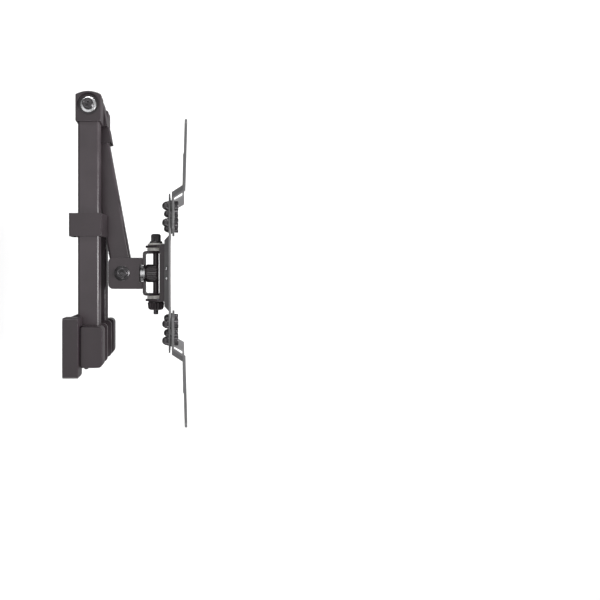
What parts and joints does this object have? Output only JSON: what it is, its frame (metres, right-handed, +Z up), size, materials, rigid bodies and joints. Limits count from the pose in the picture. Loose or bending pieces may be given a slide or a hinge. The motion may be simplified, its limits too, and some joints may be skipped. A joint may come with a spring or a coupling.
{
  "type": "full motion tv wall mount",
  "caption": "Full motion wall mount for a flat screen: folding arms, a head that swivels, levels and tilts, and a screen plate with extension arms, folded against the wall.",
  "frame": {"origin": "centre of the wall plate's back face, which lies on the wall", "axes": "+X points away from the wall, +Y runs along the wall towards the folded elbow, +Z is up"},
  "size_m": [0.1755, 0.4828, 0.226],
  "materials": {
    "black_steel": "satin black powder coat with a warm charcoal tint",
    "grey_steel": "satin dark grey powder coat",
    "black_plastic": "finely grained moulded black plastic",
    "black_bolt": "black oxide steel",
    "bright_steel": "bright zinc-plated steel",
    "pale_nylon": "natural nylon"
  },
  "bodies": {
    "wall_bracket": {"wall_plate": "black_steel", "upper_clevis": "black_steel", "lower_clevis": "black_steel", "top_wall_cover": "black_plastic", "bottom_wall_cover": "black_plastic", "top_pivot_cap": "black_plastic", "bottom_pivot_cap": "black_plastic", "top_cap_screw": "black_bolt", "bottom_cap_screw": "black_bolt", "base_pivot_bolt": "black_bolt", "base_pivot_nut": "black_bolt"},
    "first_arm": {"arm_1_upper_tube": "black_steel", "arm_1_lower_tube": "black_steel", "upper_base_plug": "black_plastic", "lower_base_plug": "black_plastic", "upper_base_bushing": "pale_nylon", "lower_base_bushing": "pale_nylon", "upper_elbow_cap": "black_plastic", "lower_elbow_cap": "black_plastic", "elbow_bolt_washer": "bright_steel", "elbow_bolt": "black_bolt", "elbow_nut": "black_bolt"},
    "cable_clip": {"arm_1_cable_clip": "black_plastic"},
    "second_arm": {"arm_2_tube": "black_steel", "arm_2_elbow_cap": "black_plastic", "upper_elbow_bushing": "black_plastic", "lower_elbow_bushing": "black_plastic", "arm_2_head_hub": "black_plastic", "arm_2_cable_clip": "black_plastic"},
    "swivel_head": {"swivel_bracket": "black_steel", "upper_swivel_washer": "pale_nylon", "lower_swivel_washer": "pale_nylon", "swivel_bolt_washer": "black_bolt", "swivel_bolt": "black_bolt", "swivel_nut": "black_bolt", "level_bolt": "black_bolt", "level_collar": "bright_steel"},
    "tilt_channel": {"tilt_base": "black_steel", "level_boss": "black_plastic", "tilt_sleeve": "black_steel"},
    "screen_carrier": {"screen_plate": "grey_steel", "tilt_ear_bracket": "black_steel", "left_ear_pad": "pale_nylon", "right_ear_pad": "pale_nylon", "tilt_bolt_washer": "pale_nylon", "tilt_bolt": "black_bolt", "upper_left_extension_arm": "grey_steel", "upper_right_extension_arm": "grey_steel", "lower_left_extension_arm": "grey_steel", "lower_right_extension_arm": "grey_steel", "upper_left_inner_bolt": "black_bolt", "upper_left_outer_bolt": "black_bolt", "upper_right_inner_bolt": "black_bolt", "upper_right_outer_bolt": "black_bolt", "lower_left_inner_bolt": "black_bolt", "lower_left_outer_bolt": "black_bolt", "lower_right_inner_bolt": "black_bolt", "lower_right_outer_bolt": "black_bolt"},
    "clamping_knob": {"tilt_knob": "black_plastic"}
  },
  "joints": [
    {"name": "base_swivel", "type": "hinge", "parent": "wall_bracket", "child": "first_arm", "pos_m": [0.03, 0, 0], "axis": [0, 0, 1], "range_deg": [-180, 0]},
    {"name": "elbow", "type": "hinge", "parent": "first_arm", "child": "second_arm", "pos_m": [0.03, 0.356, 0], "axis": [0, 0, 1], "range_deg": [0, 169.5]},
    {"name": "head_swivel", "type": "hinge", "parent": "second_arm", "child": "swivel_head", "pos_m": [0.0763, 0.106, 0], "axis": [0, 0, 1], "range_deg": [-35, 25]},
    {"name": "level", "type": "hinge", "parent": "swivel_head", "child": "tilt_channel", "pos_m": [0.1118, 0.106, 0], "axis": [1, 0, 0], "range_deg": [-5, 5]},
    {"name": "tilt", "type": "hinge", "parent": "tilt_channel", "child": "screen_carrier", "pos_m": [0.128, 0.106, 0], "axis": [0, 1, 0], "range_deg": [-5, 15]},
    {"name": "tilt_knob_turn", "type": "hinge", "parent": "screen_carrier", "child": "clamping_knob", "pos_m": [0.128, 0.055, 0], "axis": [0, 1, 0], "continuous": true},
    {"name": "cable_clip_slide", "type": "slide", "parent": "first_arm", "child": "cable_clip", "axis": [0, 1, 0], "range_m": [-0.1, 0.1]}
  ]
}
